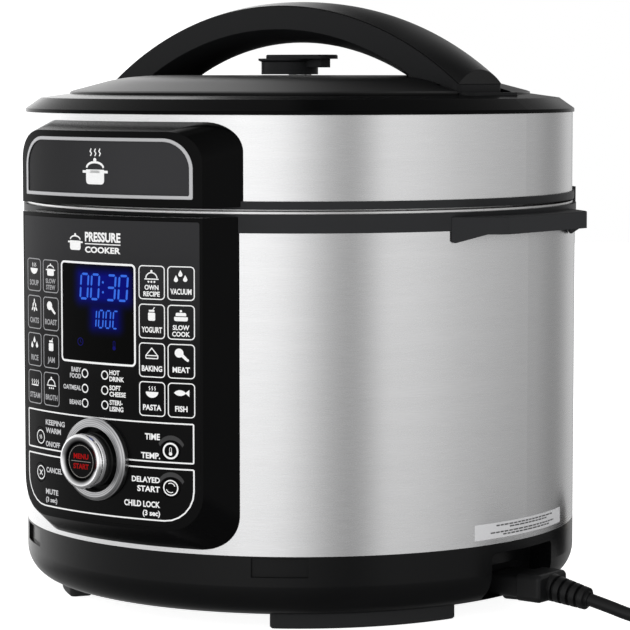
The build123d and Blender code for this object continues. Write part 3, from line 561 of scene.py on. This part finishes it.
def add_floor():
    mesh = bpy.data.meshes.new("floor")
    shape = bmesh.new()
    bmesh.ops.create_circle(shape, cap_ends=True, segments=96, radius=FLOOR_R)
    shape.to_mesh(mesh)
    shape.free()
    floor = bpy.data.objects.new("floor", mesh)
    floor.location = (0, 0, -FLOOR_DROP)
    floor.visible_glossy = False
    bpy.context.collection.objects.link(floor)
    material, tree, shader = new_material("floor_paper")
    mottle = noise(tree, object_place(tree), 3.0)
    two_colours(tree, shader, mottle, (0.88, 0.88, 0.88), (0.92, 0.92, 0.92))
    shader.inputs["Roughness"].default_value = 0.9
    shader.inputs["Emission Color"].default_value = (1, 1, 1, 1)
    shader.inputs["Emission Strength"].default_value = FLOOR_GLOW
    mesh.materials.append(material)


# ---- flat drawings -----------------------------------------------------------------------
# A drawing is a list of (points, faces) in millimetres on a flat sheet, across and up.
# A capital letter's height, as a share of the type's size.
CAPITAL_SHARE = 0.73


def filled(points):
    """One face with this outline."""
    return points, [tuple(range(len(points)))]


def disc(x, z, radius, sides=28):
    return filled(circle_points(x, z, radius, sides))


def circle_points(x, z, radius, sides=28):
    turns = [2 * math.pi * k / sides for k in range(sides)]
    return [(x + radius * math.cos(t), z + radius * math.sin(t)) for t in turns]


def arc_points(x, z, radius, start, stop, steps=10, flatten=1.0):
    turns = [math.radians(start + (stop - start) * k / steps) for k in range(steps + 1)]
    return [(x + radius * math.cos(t), z + flatten * radius * math.sin(t)) for t in turns]


def closer(points, closed, gap=2.0):
    """The same line with points no more than gap apart."""
    line = []
    follow = points[1:] + points[:1] if closed else points[1:]
    for (x0, z0), (x1, z1) in zip(points, follow):
        count = max(1, math.ceil(math.hypot(x1 - x0, z1 - z0) / gap))
        line += [(x0 + (x1 - x0) * k / count, z0 + (z1 - z0) * k / count) for k in range(count)]
    return line if closed else line + [points[-1]]


def stroke(points, width, closed=False):
    """A line of this width along the points, with mitred corners."""
    line = closer(points, closed)
    total = len(line)
    sides = []
    for k, (x, z) in enumerate(line):
        before = line[k - 1] if closed or k else line[0]
        after = line[(k + 1) % total] if closed or k + 1 < total else line[-1]
        first = Vector((x - before[0], z - before[1]))
        second = Vector((after[0] - x, after[1] - z))
        first = first.normalized() if first.length else second.normalized()
        second = second.normalized() if second.length else first
        normals = [Vector((-d.y, d.x)) for d in (first, second)]
        middle = (normals[0] + normals[1]).normalized()
        reach = width / 2 / max(middle.dot(normals[0]), 0.5)
        sides += [(x + middle.x * reach, z + middle.y * reach),
                  (x - middle.x * reach, z - middle.y * reach)]
    steps = total if closed else total - 1
    faces = [(2 * k, 2 * k + 1, (2 * k + 3) % (2 * total), (2 * k + 2) % (2 * total))
             for k in range(steps)]
    return sides, faces


def box_points(x0, x1, z0, z1, low_radius, high_radius):
    """A box with round corners, one radius for its lower pair and one for its upper."""
    corners = ((x1, z0, low_radius, -90, -1, 1), (x1, z1, high_radius, 0, -1, -1),
               (x0, z1, high_radius, 90, 1, -1), (x0, z0, low_radius, 180, 1, 1))
    line = []
    for x, z, radius, start, inward_x, inward_z in corners:
        line += arc_points(x + inward_x * radius, z + inward_z * radius, radius,
                           start, start + 90, 6)
    return line


def box_line(x0, x1, z0, z1, low_radius, high_radius, width):
    return stroke(box_points(x0, x1, z0, z1, low_radius, high_radius), width, closed=True)


def moved(drawing, x, z, scale=1.0):
    return [([(x + scale * a, z + scale * b) for a, b in points], faces)
            for points, faces in drawing]


def lettering(words, height, x, z, align=0.0, squeeze=0.92, weight=0.03, room=None):
    """Words with capitals of this height, no wider than room where it is given.

    align is 0 from the left, 0.5 centred and 1 to the right.
    """
    curve = bpy.data.curves.new("words", "FONT")
    curve.body = words
    curve.size = 1.0
    curve.offset = weight
    curve.resolution_u = 3
    holder = bpy.data.objects.new("words", curve)
    bpy.context.collection.objects.link(holder)
    bpy.context.view_layer.update()
    mesh = bpy.data.meshes.new_from_object(holder)
    points = [(v.co.x, v.co.y) for v in mesh.vertices]
    faces = [tuple(p.vertices) for p in mesh.polygons]
    bpy.data.objects.remove(holder)
    bpy.data.curves.remove(curve)
    bpy.data.meshes.remove(mesh)
    left = min(p[0] for p in points)
    width = max(p[0] for p in points) - left
    scale = height / CAPITAL_SHARE
    if room:
        squeeze = min(squeeze, room / (width * scale))
    place = [(x + (a - left - align * width) * scale * squeeze, z + b * scale) for a, b in points]
    return place, faces


def on_face(x, z, lift=PRINT_LIFT):
    """A point of the flat sheet laid on the panel's curved face."""
    return Vector((x, FACE_Y - math.sqrt((FACE_R + lift) ** 2 - x * x), z)) * MM


def printed(name, drawing, material, body, place=on_face):
    """The drawing as one thin print that rides on a body.

    It is cut into upright strips while it is flat, so that it follows the curved surface.
    """
    shape = bmesh.new()
    for points, polygons in drawing:
        corners = [shape.verts.new((x, 0, z)) for x, z in points]
        for polygon in polygons:
            shape.faces.new([corners[k] for k in polygon])
    bmesh.ops.remove_doubles(shape, verts=shape.verts, dist=PRINT_WELD)
    bmesh.ops.triangulate(shape, faces=[f for f in shape.faces if len(f.verts) > 4])
    reach = [vertex.co.x for vertex in shape.verts]
    for k in range(math.ceil(min(reach) / PRINT_STRIP), math.floor(max(reach) / PRINT_STRIP) + 1):
        everything = [*shape.verts, *shape.edges, *shape.faces]
        bmesh.ops.bisect_plane(shape, geom=everything, dist=PRINT_WELD,
                               plane_co=(k * PRINT_STRIP, 0, 0), plane_no=(1, 0, 0))
    for vertex in shape.verts:
        vertex.co = place(vertex.co.x, vertex.co.z)
    for face in shape.faces:
        face.normal_update()
        outward = face.calc_center_median() * Vector((1, 1, 0))
        if face.normal.dot(outward) < 0:
            face.normal_flip()
    mesh = bpy.data.meshes.new(name)
    shape.to_mesh(mesh)
    shape.free()
    mesh.materials.append(material)
    piece = bpy.data.objects.new(name, mesh)
    bpy.context.collection.objects.link(piece)
    depth = piece.modifiers.new("depth", "SOLIDIFY")
    depth.thickness = PRINT_DEPTH * MM
    depth.offset = -1
    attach(piece, body)
    return piece


# ---- pictograms, each about 8 mm wide and 6 mm high around its own centre ----------------
STEAM_WAVE = ((0, 0), (0.4, 0.7), (-0.1, 1.3), (0.3, 2.0))
# Each grain: its centre and the way it points, in degrees.
GRAINS = ((-1.8, -1.6, 50), (0, -1.9, 90), (1.8, -1.6, 130), (-1.1, 0.4, 70), (1.1, 0.4, 110),
          (0, 2.3, 90))
GRAIN_LENGTH = 1.15
GRAIN_WIDTH = 0.55
DROPS = ((-2.4, -1.4), (-0.2, 1.2), (2.2, -1.2))


def steam_lines(z, count=3, gap=1.5):
    """Wavy lines side by side that rise from z."""
    lines = []
    for k in range(count):
        x = gap * (k - (count - 1) / 2)
        lines.append(stroke([(x + a, z + b) for a, b in STEAM_WAVE], 0.35))
    return lines


def bowl_icon():
    return [filled(arc_points(0, 0.2, 3.4, 180, 360, 14, 0.85)), *steam_lines(0.9)]


def pot_icon():
    body = filled(box_points(-2.8, 2.8, -2.8, 0.6, 0.9, 0.1))
    rim = stroke([(-3.9, 0.1), (3.9, 0.1)], 0.6)
    lid = stroke(arc_points(0, 1.0, 2.6, 0, 180, 10, 0.5), 0.5)
    return [body, rim, lid, disc(0, 2.8, 0.5, 12)]


def jar_icon():
    body = filled(box_points(-1.9, 1.9, -2.9, 1.0, 0.7, 0.5))
    cap = filled(box_points(-1.5, 1.5, 1.4, 2.3, 0.1, 0.1))
    return [body, cap, stroke([(0.6, 2.3), (1.6, 3.6)], 0.4)]


def cake_icon():
    lower = filled(box_points(-3.4, 3.4, -2.6, -0.6, 0.9, 0.2))
    upper = filled(box_points(-2.6, 2.6, -0.2, 1.4, 0.2, 0.7))
    return [lower, upper, disc(0, 2.2, 0.6, 12)]


def fish_icon():
    back = arc_points(-0.6, -2.2, 3.9, 40, 140, 12)
    belly = arc_points(-0.6, 2.8, 3.9, 220, 320, 12)
    return [filled(back + belly), filled([(2.0, 0.3), (4.0, 2.0), (4.0, -1.4)])]


def leg_icon():
    bone = filled([(0.2, -1.0), (1.2, 0.2), (3.2, -1.9), (2.3, -2.8)])
    return [disc(-1.0, 0.8, 2.2, 20), bone, disc(3.2, -2.6, 0.7, 10)]


def slice_icon():
    top = stroke([(-3.2, -1.0), (0, 2.6), (3.2, -1.0)], 0.5, True)
    base = stroke([(-3.2, -2.4), (3.2, -2.4)], 0.5)
    sides = [stroke([(x, -1.0), (x, -2.4)], 0.5) for x in (-3.2, 3.2)]
    return [top, base, *sides]


def grain_icon():
    seeds = []
    for x, z, turn in GRAINS:
        cosine = math.cos(math.radians(turn))
        sine = math.sin(math.radians(turn))
        outline = [(GRAIN_LENGTH * a, GRAIN_WIDTH * b) for a, b in circle_points(0, 0, 1.0, 12)]
        seeds.append(filled([(x + cosine * a - sine * b, z + sine * a + cosine * b)
                             for a, b in outline]))
    return seeds


def steam_icon():
    return [stroke([(-3.2, -2.4), (3.2, -2.4)], 0.6), *moved(steam_lines(-1.6, 4, 1.6), 0, 0, 1.2)]


def cover_icon():
    """A domed serving cover over three dots."""
    dome = stroke(arc_points(0, -1.0, 3.0, 0, 180, 14, 0.9), 0.55)
    tray = stroke([(-3.8, -1.4), (3.8, -1.4)], 0.55)
    dots = [disc(x, -2.7, 0.5, 10) for x in (-1.6, 0, 1.6)]
    return [dome, tray, disc(0, 2.4, 0.6, 12), *dots]


def drops_icon():
    return [filled(arc_points(x, z, 1.05, -210, 30, 12) + [(x, z + 2.2)]) for x, z in DROPS]


def ring_icon(radius, width):
    return stroke(circle_points(0, 0, radius, 28), width, closed=True)


def clock_icon():
    hands = stroke([(0, 1.5), (0, 0), (1.1, -0.6)], 0.45)
    return [stroke(circle_points(0, 0, 2.6, 24), 0.5, True), hands]


def thermometer_icon():
    tube = stroke(box_points(-0.8, 0.8, -0.8, 3.0, 0.1, 0.7), 0.4, True)
    return [tube, disc(0, -1.9, 1.4, 16)]


# ---- what is printed on the panel --------------------------------------------------------
# Each tile row's lower and upper edge, and each column's sides with its tiles from the top.
TILE_ROWS = ((163.4, 179.9), (144.6, 161.4), (125.9, 142.7), (107.1, 124.0))
DIM_TILES = (
    ((-54.5, -41.5), (("SOUP", bowl_icon), ("OATS", grain_icon),
                      ("RICE", drops_icon), ("STEAM", steam_icon))),
    ((-39.7, -26.5), (("SLOW\nSTEW", pot_icon), ("ROAST", leg_icon),
                      ("JAM", jar_icon), ("BROTH", cover_icon))))
BRIGHT_TILES = (
    ((26.2, 40.4), (("OWN\nRECIPE", cover_icon), ("YOGURT", jar_icon),
                    ("BAKING", slice_icon), ("PASTA", bowl_icon))),
    ((41.6, 55.3), (("VACUUM", drops_icon), ("SLOW\nCOOK", cake_icon),
                    ("MEAT", leg_icon), ("FISH", fish_icon))))
TILE_INSET = 0.3
TILE_CORNER = 1.8
ICON_DROP = 5.2
CAPTION_RISE = 4.4
CAPTION_MARGIN = 3.2

# Each lamp column: the lamps' x, the captions' x, how those are aligned, and the captions.
LAMP_ROWS = (125.5, 118.1, 110.9)
LEFT_LAMPS = (-7.4, -10.1, 1.0, ("BABY\nFOOD", "OATMEAL", "BEANS"))
RIGHT_LAMPS = (5.7, 8.7, 0.0, ("HOT\nDRINK", "SOFT\nCHEESE", "STERI-\nLISING"))
LAMP_R = 1.95
LAMP_CAPTION = 2.3
LAMP_ROOM = 13.5

# Words beside the buttons: the words, their capitals' height, x, z and squeeze.
LEFT_WORDS = (
    ("KEEPING", 2.6, -38.3, 97.6, 1.15), ("WARM", 2.6, -38.3, 93.6, 1.15),
    ("ON/OFF", 2.6, -38.3, 86.8, 0.92), ("CANCEL", 2.6, -38.0, 73.8, 0.95),
    ("MUTE", 2.6, -38.6, 62.9, 1.15), ("(3 sec)", 2.4, -38.6, 59.0, 1.1))
RIGHT_WORDS = (
    ("TIME", 3.0, 37.4, 95.9, 0.92), ("TEMP.", 2.9, 37.5, 86.7, 1.0),
    ("DELAYED", 2.7, 37.3, 75.0, 1.0), ("START", 2.8, 37.3, 70.5, 1.1),
    ("CHILD LOCK", 2.9, 37.3, 63.0, 0.85), ("(3 sec)", 2.6, 37.3, 58.9, 1.0))

BUTTON_X = 42.9
UPPER_BUTTON_Z = 90.9
LOWER_BUTTON_Z = 73.0
# Where the crescents of painted highlight over the right-hand buttons are centred.
CRESCENT_X = 43.2
CRESCENT_ROWS = (91.2, 73.4)
HEADING_X = -6.7
HEADING_RULE_Z = 189.0
HEADING_ROOM = 22.6


def caption(words, x, z, height, align, room):
    """One or two lines centred on z."""
    lines = words.split("\n")
    pitch = height * 1.36
    top = z + pitch * (len(lines) - 1) / 2 - height / 2
    return [lettering(line, height, x, top - pitch * k, align, room=room)
            for k, line in enumerate(lines)]


def tile_places(columns):
    """(left, right, low, high, words, pictogram) of every tile."""
    return [(x0, x1, z0, z1, words, icon) for (x0, x1), entries in columns
            for (z0, z1), (words, icon) in zip(TILE_ROWS, entries)]


def tile_frames(columns, width):
    return [box_line(x0 + TILE_INSET, x1 - TILE_INSET, z0 + TILE_INSET, z1 - TILE_INSET,
                     TILE_CORNER, TILE_CORNER, width)
            for x0, x1, z0, z1, _, _ in tile_places(columns)]


def tile_icons(columns):
    drawing = []
    for x0, x1, _, z1, _, icon in tile_places(columns):
        drawing += moved(icon(), (x0 + x1) / 2, z1 - ICON_DROP)
    return drawing


def tile_captions(columns):
    drawing = []
    for x0, x1, z0, _, words, _ in tile_places(columns):
        height = 2.3 if "\n" in words else 2.7
        drawing += caption(words, (x0 + x1) / 2, z0 + CAPTION_RISE, height, 0.5,
                           x1 - x0 - CAPTION_MARGIN)
    return drawing


def lamp_rings():
    return [stroke(circle_points(column[0], z, LAMP_R), 0.6, closed=True)
            for column in (LEFT_LAMPS, RIGHT_LAMPS) for z in LAMP_ROWS]


def lamp_captions(column):
    _, x, align, entries = column
    drawing = []
    for z, words in zip(LAMP_ROWS, entries):
        drawing += caption(words, x, z, LAMP_CAPTION, align, LAMP_ROOM)
    return drawing


def panel_boxes():
    """The lines round the display and the two rows of buttons."""
    return [box_line(-24.0, 24.0, 131.0, 179.6, 2.0, 2.0, 1.0),
            box_line(-54.4, 54.4, 85.3, 104.2, 0.6, 0.6, 0.7),
            box_line(-54.5, 54.5, 56.8, 82.2, 15.0, 0.6, 0.7)]


def word_column(rows, align):
    return [lettering(words, height, x, z, align, squeeze)
            for words, height, x, z, squeeze in rows]


def heading():
    """A plain pot and the appliance's kind."""
    rule = stroke([(HEADING_X, HEADING_RULE_Z), (HEADING_X + HEADING_ROOM, HEADING_RULE_Z)], 0.5)
    upper = lettering("PRESSURE", 4.5, HEADING_X, HEADING_RULE_Z + 1.3, 0.0, 1.2, 0.035,
                      HEADING_ROOM)
    lower = lettering("COOKER", 2.9, HEADING_X, HEADING_RULE_Z - 4.2, 0.0, 1.6, 0.035,
                      HEADING_ROOM)
    return [*moved(pot_icon(), -13.6, 189.4, 1.35), upper, rule, lower]


def highlight_crescents():
    """Painted highlights: grey crescents above the right-hand buttons, where the edge of a dish
    round each button would catch the light.
    """
    drawing = []
    for z in CRESCENT_ROWS:
        outer = arc_points(CRESCENT_X, z, 7.2, 25, 155, 16)
        inner = arc_points(CRESCENT_X, z - 1.6, 6.6, 150, 30, 16)
        drawing.append(filled(outer + inner))
    return drawing


def button_marks():
    """A ring and a sign on each button: heat, stop, thermometer and delay."""
    warm = [ring_icon(3.3, 0.5), *moved(steam_lines(-1.0, 2, 1.2), -0.1, 0)]
    stop = [ring_icon(3.3, 0.5), *[stroke([(-1.3, -z), (1.3, z)], 0.5) for z in (1.3, -1.3)]]
    heat = [ring_icon(3.6, 0.85), *moved(thermometer_icon(), 0, -0.2, 0.62)]
    delay = [ring_icon(3.6, 0.6), *[stroke(arc_points(0, 0, 2.3, start, start + 100), 0.4)
                                    for start in (200, 20)]]
    return {"keep_warm": moved(warm, -BUTTON_X, UPPER_BUTTON_Z),
            "cancel": moved(stop, -BUTTON_X, LOWER_BUTTON_Z),
            "time": moved(heat, BUTTON_X, UPPER_BUTTON_Z),
            "delay": moved(delay, BUTTON_X, LOWER_BUTTON_Z)}


def add_prints():
    white = ink("white_ink", (0.80, 0.80, 0.80), (0.66, 0.66, 0.66))
    pale = ink("pale_ink", (0.50, 0.50, 0.51), (0.40, 0.40, 0.41))
    grey = ink("grey_ink", (0.30, 0.30, 0.31), (0.22, 0.22, 0.23))
    # A dark grey, still lighter than the black film, for painted highlights on the edges of the
    # buttons' dishes.
    dark = ink("painted_highlight_ink", (0.016, 0.016, 0.017), (0.013, 0.013, 0.014))
    bright = tile_frames(BRIGHT_TILES, 0.5) + tile_icons(BRIGHT_TILES) + tile_captions(BRIGHT_TILES)
    dim = tile_frames(DIM_TILES, 0.45) + tile_captions(DIM_TILES)
    left = word_column(LEFT_WORDS, 0.0) + lamp_captions(LEFT_LAMPS)
    printed("print_bright_tiles", bright + tile_icons(DIM_TILES), white, "cooker")
    printed("print_dim_tiles", dim, grey, "cooker")
    printed("print_lamps", lamp_rings() + lamp_captions(RIGHT_LAMPS), white, "cooker")
    printed("print_left_words", left, pale, "cooker")
    printed("print_boxes", panel_boxes(), white, "cooker")
    printed("print_right_words", word_column(RIGHT_WORDS, 1.0), white, "cooker")
    printed("print_heading", heading(), white, "cooker")
    # Painted highlights over the right-hand buttons.
    printed("print_highlight_crescents", highlight_crescents(), dark, "cooker")
    for name, drawing in button_marks().items():
        printed("print_" + name, drawing, white, "key_" + name)


# ---- the display's figures ---------------------------------------------------------------
# The bars of each figure, and where each bar runs on a grid one wide and two high.
SEGMENTS = {"0": "abcdef", "1": "bc", "3": "abcdg", "C": "adef"}
BAR_ENDS = {"a": ((0, 2), (1, 2)), "b": ((1, 2), (1, 1)), "c": ((1, 1), (1, 0)),
            "d": ((0, 0), (1, 0)), "e": ((0, 0), (0, 1)), "f": ((0, 1), (0, 2)),
            "g": ((0, 1), (1, 1))}
BAR_GAP = 0.34
BAR_POINT = 0.5
LEAN = 0.08
COLON_ROOM = 0.42
COLON_PLACE = 0.12


def figure(letter, x, z, width, height, thick):
    """One seven-bar figure, leaning a little to the right."""
    bars = []
    for bar in SEGMENTS[letter]:
        corners = [Vector((a * width, b * height / 2)) for a, b in BAR_ENDS[bar]]
        along = (corners[1] - corners[0]).normalized() * thick
        across = Vector((-along.y, along.x)) / 2
        start = corners[0] + along * BAR_GAP
        stop = corners[1] - along * BAR_GAP
        near = along * BAR_POINT
        outline = [start, start + near + across, stop - near + across, stop,
                   stop - near - across, start + near - across]
        bars.append(filled([(x + p.x + LEAN * p.y, z + p.y) for p in outline]))
    return bars


def figures(words, x, z, width, height, thick, pitch):
    drawing = []
    for letter in words:
        if letter == ":":
            drawing += [disc(x + pitch * COLON_PLACE, z + height * share, thick * 0.55, 12)
                        for share in (0.3, 0.7)]
            x += pitch * COLON_ROOM
            continue
        drawing += figure(letter, x, z, width, height, thick)
        x += pitch
    return drawing


def add_display():
    blue = lit_figures("blue_figures", (0.05, 0.20, 1.0), 0.85)
    dim_blue = lit_figures("dim_blue_figures", (0.01, 0.01, 0.30), 0.45)
    clock = figures("00:30", -10.3, 162.2, 4.9, 12.0, 1.1, 7.2)
    heat = figures("100C", -2.6, 148.5, 2.7, 8.4, 0.75, 4.5)
    printed("display_figures", clock + heat, blue, "cooker")
    icons = moved(clock_icon(), -10.4, 140.9, 0.7) + moved(thermometer_icon(), 11.7, 140.2, 0.7)
    printed("display_icons", icons, dim_blue, "cooker")


# ---- prints on the knob, the lid's plate and the label -----------------------------------
def on_cap(x, z):
    """A point of the flat sheet laid on the knob's cap."""
    return Vector((x, CAP_FRONT - PRINT_LIFT, z)) * MM


def on_plate(x, z):
    """A point of the flat sheet laid on the lid's plate."""
    return on_face(x, z, PRINT_LIFT - PLATE_SETBACK)


def on_label(x, z):
    """A point of the flat sheet laid on the label, x along its arc."""
    angle = x / LABEL_R
    radius = LABEL_R + PRINT_LIFT
    return Vector((radius * math.cos(angle), radius * math.sin(angle), z)) * MM


def add_cap_print():
    red = lit_figures("red_figures", (1.0, 0.01, 0.01), 0.36)
    silver = ink("silver_ink", (0.22, 0.21, 0.20), (0.17, 0.16, 0.15))
    words = [lettering("MENU", 2.5, 0, DIAL_Z + 1.3, 0.5, 1.05),
             lettering("START", 2.5, 0, DIAL_Z - 3.6, 0.5, 1.0)]
    lines = [stroke(circle_points(0, DIAL_Z, 7.9, 48), 0.25, True),
             stroke([(-6.4, DIAL_Z), (6.4, DIAL_Z)], 0.25)]
    printed("print_cap_words", words, red, "dial_cap", on_cap)
    printed("print_cap_lines", lines, silver, "dial_cap", on_cap)


def add_plate_mark():
    silver = ink("plate_ink", (0.78, 0.78, 0.78), (0.66, 0.66, 0.66))
    mark = moved(pot_icon(), 0, 223.8, 2.1) + moved(steam_lines(0, 3, 1.6), 0, 231.6, 1.8)
    printed("print_plate_mark", mark, silver, "lid_cover", on_plate)


def add_label_lines():
    """Bars of uneven length where the label's small print would be."""
    faint = ink("faint_ink", (0.07, 0.07, 0.07), (0.05, 0.05, 0.05))
    bars = []
    for z, start, stop in LABEL_LINES:
        x = start
        while x < stop:
            length = 2.2 + 1.6 * math.sin(3 * x) ** 2
            bars.append(stroke([(x, z), (min(x + length, stop), z)], 0.7))
            x += length + 0.7
    printed("print_label_lines", bars, faint, "cooker", on_label)


# ---- everything --------------------------------------------------------------------------
add_camera()
cord = add_cord()
materials = slot_materials()
cord.data.materials.append(materials["cord_rubber"])
paint_cad_nodes(materials)
add_studio()
add_floor()
add_prints()
add_display()
add_cap_print()
add_plate_mark()
add_label_lines()

bpy.context.view_layer.update()
